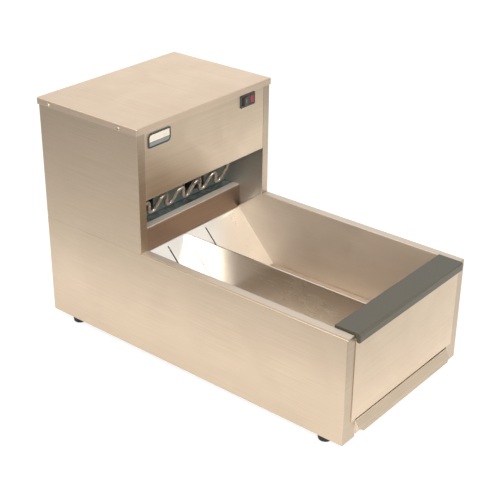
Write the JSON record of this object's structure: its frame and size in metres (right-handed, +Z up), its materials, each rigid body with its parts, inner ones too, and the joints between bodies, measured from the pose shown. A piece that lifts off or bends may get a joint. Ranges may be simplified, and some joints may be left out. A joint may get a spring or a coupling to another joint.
{
  "type": "food warmer",
  "caption": "Open countertop food warmer: bent stainless trough with perforated floor, ramp, divider and pull-out crumb tray, and a blower tower with a tubular heating element.",
  "frame": {"origin": "on the counter, under the middle of the overall box", "axes": "+Z up; the trough's front with the tray's pull faces -Y and the tower stands at +Y; +X is to the right when the front is faced"},
  "size_m": [0.376, 0.722, 0.467],
  "materials": {
    "brushed_stainless": "linear brushed",
    "well_stainless": "fine brushed",
    "heat_tinted_stainless": "fine brushed, straw heat tint",
    "duct_stainless": "mill finish",
    "galvanised_steel": "galvanised",
    "zinc_plated_steel": "bright zinc",
    "ground_steel": "ground",
    "element_sheath": "oxidised sheath",
    "moulded_ledge": "satin moulded",
    "foot_rubber": "matt moulded",
    "switch_nylon": "fine textured moulded",
    "badge_enamel": "gloss enamel",
    "ceramic": "steatite",
    "motor_enamel": "satin enamel",
    "bush_bronze": "sintered",
    "thermostat_phenolic": "moulded"
  },
  "bodies": {
    "cabinet": {"base_side_left": "brushed_stainless", "base_side_right": "brushed_stainless", "base_floor_pan": "galvanised_steel", "base_rear_panel": "brushed_stainless", "tower_rear_panel": "brushed_stainless", "front_panel": "brushed_stainless", "front_ledge": "moulded_ledge", "well_side_left": "well_stainless", "well_side_right": "well_stainless", "well_front_wall": "well_stainless", "ramp_plate": "well_stainless", "return_panel": "heat_tinted_stainless", "plenum_deck": "galvanised_steel", "tray_runner_left": "galvanised_steel", "tray_runner_right": "galvanised_steel", "rubber_feet": "foot_rubber", "foot_screws": "zinc_plated_steel", "tower_side_left": "brushed_stainless", "tower_side_right": "brushed_stainless", "top_cover": "brushed_stainless", "cover_screws": "zinc_plated_steel", "rear_panel_screws": "zinc_plated_steel", "control_panel": "brushed_stainless", "panel_backing_strips": "galvanised_steel", "badge_plate": "badge_enamel", "switch_bezel": "switch_nylon", "duct_side_left": "duct_stainless", "duct_side_right": "duct_stainless", "duct_roof": "duct_stainless", "blower_panel": "duct_stainless", "heating_element": "element_sheath", "element_hangers": "duct_stainless", "element_terminals": "ceramic", "blower_housing_left": "galvanised_steel", "blower_housing_right": "galvanised_steel", "blower_motor": "motor_enamel", "motor_bushes": "bush_bronze", "motor_pedestal": "galvanised_steel", "control_thermostat": "thermostat_phenolic", "high_limit_cutout": "thermostat_phenolic", "terminal_block": "ceramic", "power_inlet": "switch_nylon"},
    "tray": {"crumb_tray": "brushed_stainless"},
    "bin_floor": {"perforated_floor": "well_stainless"},
    "bin_divider": {"divider": "well_stainless"},
    "rocker": {"switch_rocker": "switch_nylon"},
    "blower_rotor": {"motor_shaft": "ground_steel", "blower_wheel_plate_left": "galvanised_steel", "blower_wheel_plate_right": "galvanised_steel", "blower_blades_left": "galvanised_steel", "blower_blades_right": "galvanised_steel", "blower_wheel_ring_left": "galvanised_steel", "blower_wheel_ring_right": "galvanised_steel"}
  },
  "joints": [
    {"name": "tray_slide", "type": "slide", "parent": "cabinet", "child": "tray", "axis": [0, -1, 0], "range_m": [0, 0.38]},
    {"name": "floor_lift", "type": "slide", "parent": "cabinet", "child": "bin_floor", "axis": [0, 0, 1], "range_m": [0, 0.035]},
    {"name": "divider_lift", "type": "slide", "parent": "bin_floor", "child": "bin_divider", "axis": [0, 0, 1], "range_m": [0, 0.05]},
    {"name": "rocker_pivot", "type": "hinge", "parent": "cabinet", "child": "rocker", "pos_m": [0.116, 0.11, 0.44], "axis": [0, 0, -1], "range_deg": [0, 16]},
    {"name": "blower_spin", "type": "hinge", "parent": "cabinet", "child": "blower_rotor", "pos_m": [0, 0.2776, 0.321], "axis": [1, 0, 0], "continuous": true}
  ]
}
